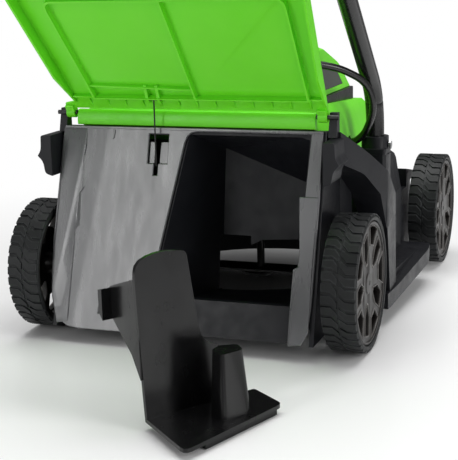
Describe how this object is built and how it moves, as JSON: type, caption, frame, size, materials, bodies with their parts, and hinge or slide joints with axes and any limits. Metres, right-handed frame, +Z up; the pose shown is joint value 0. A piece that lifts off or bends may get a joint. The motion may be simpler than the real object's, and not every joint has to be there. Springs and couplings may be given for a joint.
{
  "type": "push lawn mower",
  "caption": "Cordless push mower with raised rear discharge flap, folding handle, battery lid, height lever and a mulching plug standing behind it.",
  "frame": {"origin": "on the ground, under the middle of the whole object's length and width", "axes": "+Y forwards, the way the mower is pushed; +X to the right; +Z up"},
  "size_m": [0.5032, 1.2363, 1.0497],
  "materials": {
    "tyre_rubber": "moulded tread, matt",
    "grip_foam": "closed-cell foam, matt",
    "rim_plastic": "satin moulded",
    "green_plastic": "satin moulded",
    "panel_plastic": "satin moulded with flow marks",
    "deck_plastic": "satin moulded",
    "smoke_plastic": "smoked, polished",
    "red_plastic": "moulded",
    "tube_paint": "semi-gloss powder coat",
    "cable_rubber": "smooth jacket",
    "steel": "zinc plated",
    "spring_wire": "black oxide",
    "black_plastic": "satin moulded"
  },
  "bodies": {
    "deck": {"deck_shell": "deck_plastic", "rear_panel": "panel_plastic", "bag_hook_left": "deck_plastic", "bag_hook_right": "deck_plastic", "motor_cover": "green_plastic", "hinge_rod": "steel", "battery_tray": "black_plastic", "lid_pin": "steel", "motor_can": "black_plastic", "controller_box": "black_plastic", "lever_pivot": "steel", "height_rack": "steel", "handle_socket_left": "deck_plastic", "handle_socket_right": "deck_plastic", "socket_screw_left": "steel", "socket_screw_right": "steel", "lower_handle_left": "tube_paint", "lower_handle_right": "tube_paint", "clamp_bolt_left": "steel", "clamp_bolt_right": "steel", "cable_lower": "cable_rubber"},
    "flap": {"rear_flap": "green_plastic"},
    "spring_wire": {"flap_spring_wire": "spring_wire"},
    "lid": {"lid_frame": "green_plastic", "lid_window_left": "smoke_plastic", "lid_window_right": "smoke_plastic"},
    "battery": {"battery_pack": "black_plastic"},
    "battery_button": {"battery_button": "green_plastic"},
    "safety_key": {"safety_key": "red_plastic"},
    "blade_set": {"motor_rotor": "steel", "cooling_fan": "black_plastic", "blade": "steel", "blade_bolt": "steel"},
    "rear_axle": {"rear_axle": "steel"},
    "front_axle": {"front_axle": "steel"},
    "height_lever": {"height_lever": "steel", "lever_knob": "black_plastic"},
    "height_link": {"height_link": "steel"},
    "upper_handle": {"upper_handle": "tube_paint", "handle_grip": "grip_foam", "switch_box": "black_plastic", "cable_upper": "cable_rubber"},
    "cam_lever_left": {"cam_lever_left": "black_plastic"},
    "cam_lever_right": {"cam_lever_right": "black_plastic"},
    "bail": {"bail_lever": "tube_paint"},
    "start_button": {"start_button": "green_plastic"},
    "mulch_plug": {"mulch_plug": "black_plastic"},
    "wheel_rear_left": {"tyre_rear_left": "tyre_rubber", "rim_rear_left": "rim_plastic", "hub_cap_rear_left": "black_plastic"},
    "wheel_rear_right": {"tyre_rear_right": "tyre_rubber", "rim_rear_right": "rim_plastic", "hub_cap_rear_right": "black_plastic"},
    "wheel_front_left": {"tyre_front_left": "tyre_rubber", "rim_front_left": "rim_plastic", "hub_cap_front_left": "black_plastic"},
    "wheel_front_right": {"tyre_front_right": "tyre_rubber", "rim_front_right": "rim_plastic", "hub_cap_front_right": "black_plastic"}
  },
  "joints": [
    {"name": "flap_hinge", "type": "hinge", "parent": "deck", "child": "flap", "pos_m": [0, 0.038, 0.302], "axis": [1, 0, 0], "range_deg": [0, 100]},
    {"name": "spring_wire_swing", "type": "hinge", "parent": "flap", "child": "spring_wire", "pos_m": [-0.047, 0.01892, 0.3231], "axis": [1, 0, 0], "range_deg": [-76, 0]},
    {"name": "lid_hinge", "type": "hinge", "parent": "deck", "child": "lid", "pos_m": [0, 0.312, 0.304], "axis": [-1, 0, 0], "range_deg": [0, 60]},
    {"name": "battery_slide", "type": "slide", "parent": "deck", "child": "battery", "axis": [0, 0, 1], "range_m": [0, 0.018]},
    {"name": "battery_button_press", "type": "slide", "parent": "deck", "child": "battery_button", "axis": [0, 0, -1], "range_m": [0, 0.004], "stiffness_N_per_m": 300},
    {"name": "safety_key_pull", "type": "slide", "parent": "deck", "child": "safety_key", "axis": [0, 0, 1], "range_m": [0, 0.03]},
    {"name": "blade_spin", "type": "hinge", "parent": "deck", "child": "blade_set", "pos_m": [0, 0.306, 0.048], "axis": [0, 0, 1], "continuous": true},
    {"name": "rear_crank", "type": "hinge", "parent": "deck", "child": "rear_axle", "pos_m": [0, 0.084, 0.036], "axis": [1, 0, 0], "range_deg": [0, 34]},
    {"name": "front_crank", "type": "hinge", "parent": "deck", "child": "front_axle", "pos_m": [0, 0.576, 0.036], "axis": [1, 0, 0], "range_deg": [0, 34]},
    {"name": "height_lever_swing", "type": "hinge", "parent": "deck", "child": "height_lever", "pos_m": [-0.21, 0.298, 0.036], "axis": [1, 0, 0], "range_deg": [0, 34]},
    {"name": "height_link_swing", "type": "hinge", "parent": "rear_axle", "child": "height_link", "pos_m": [-0.191, 0.084, 0.076], "axis": [1, 0, 0], "range_deg": [-34, 0]},
    {"name": "wheel_rear_left_roll", "type": "hinge", "parent": "rear_axle", "child": "wheel_rear_left", "pos_m": [-0.218, 0.036, 0.09], "axis": [1, 0, 0], "continuous": true},
    {"name": "wheel_rear_right_roll", "type": "hinge", "parent": "rear_axle", "child": "wheel_rear_right", "pos_m": [0.218, 0.036, 0.09], "axis": [1, 0, 0], "continuous": true},
    {"name": "wheel_front_left_roll", "type": "hinge", "parent": "front_axle", "child": "wheel_front_left", "pos_m": [-0.227, 0.528, 0.09], "axis": [1, 0, 0], "continuous": true},
    {"name": "wheel_front_right_roll", "type": "hinge", "parent": "front_axle", "child": "wheel_front_right", "pos_m": [0.227, 0.528, 0.09], "axis": [1, 0, 0], "continuous": true},
    {"name": "handle_fold", "type": "hinge", "parent": "deck", "child": "upper_handle", "pos_m": [0, -0.084, 0.566], "axis": [-1, 0, 0], "range_deg": [0, 150]},
    {"name": "cam_lever_left_flip", "type": "hinge", "parent": "deck", "child": "cam_lever_left", "pos_m": [-0.2246, -0.084, 0.566], "axis": [0, 0.9298, 0.3681], "range_deg": [0, 120]},
    {"name": "cam_lever_right_flip", "type": "hinge", "parent": "deck", "child": "cam_lever_right", "pos_m": [0.2246, -0.084, 0.566], "axis": [0, -0.9298, -0.3681], "range_deg": [0, 120]},
    {"name": "bail_pull", "type": "hinge", "parent": "upper_handle", "child": "bail", "pos_m": [0, -0.53469, 0.96208], "axis": [1, 0, 0], "range_deg": [0, 22], "stiffness_Nm_per_rad": 0.6, "springref_deg": -11.46},
    {"name": "start_button_press", "type": "slide", "parent": "upper_handle", "child": "start_button", "axis": [0, 0.6601, 0.7511], "range_m": [0, 0.004], "stiffness_N_per_m": 300},
    {"name": "mulch_plug_lift", "type": "slide", "parent": "deck", "child": "mulch_plug", "axis": [0, 0, 1], "range_m": [0, 0.25]}
  ],
  "couplings": [
    {"joint": "spring_wire_swing", "follows": "flap_hinge", "ratio": -0.75},
    {"joint": "front_crank", "follows": "rear_crank", "ratio": 1},
    {"joint": "height_lever_swing", "follows": "rear_crank", "ratio": 1},
    {"joint": "height_link_swing", "follows": "rear_crank", "ratio": -1}
  ]
}
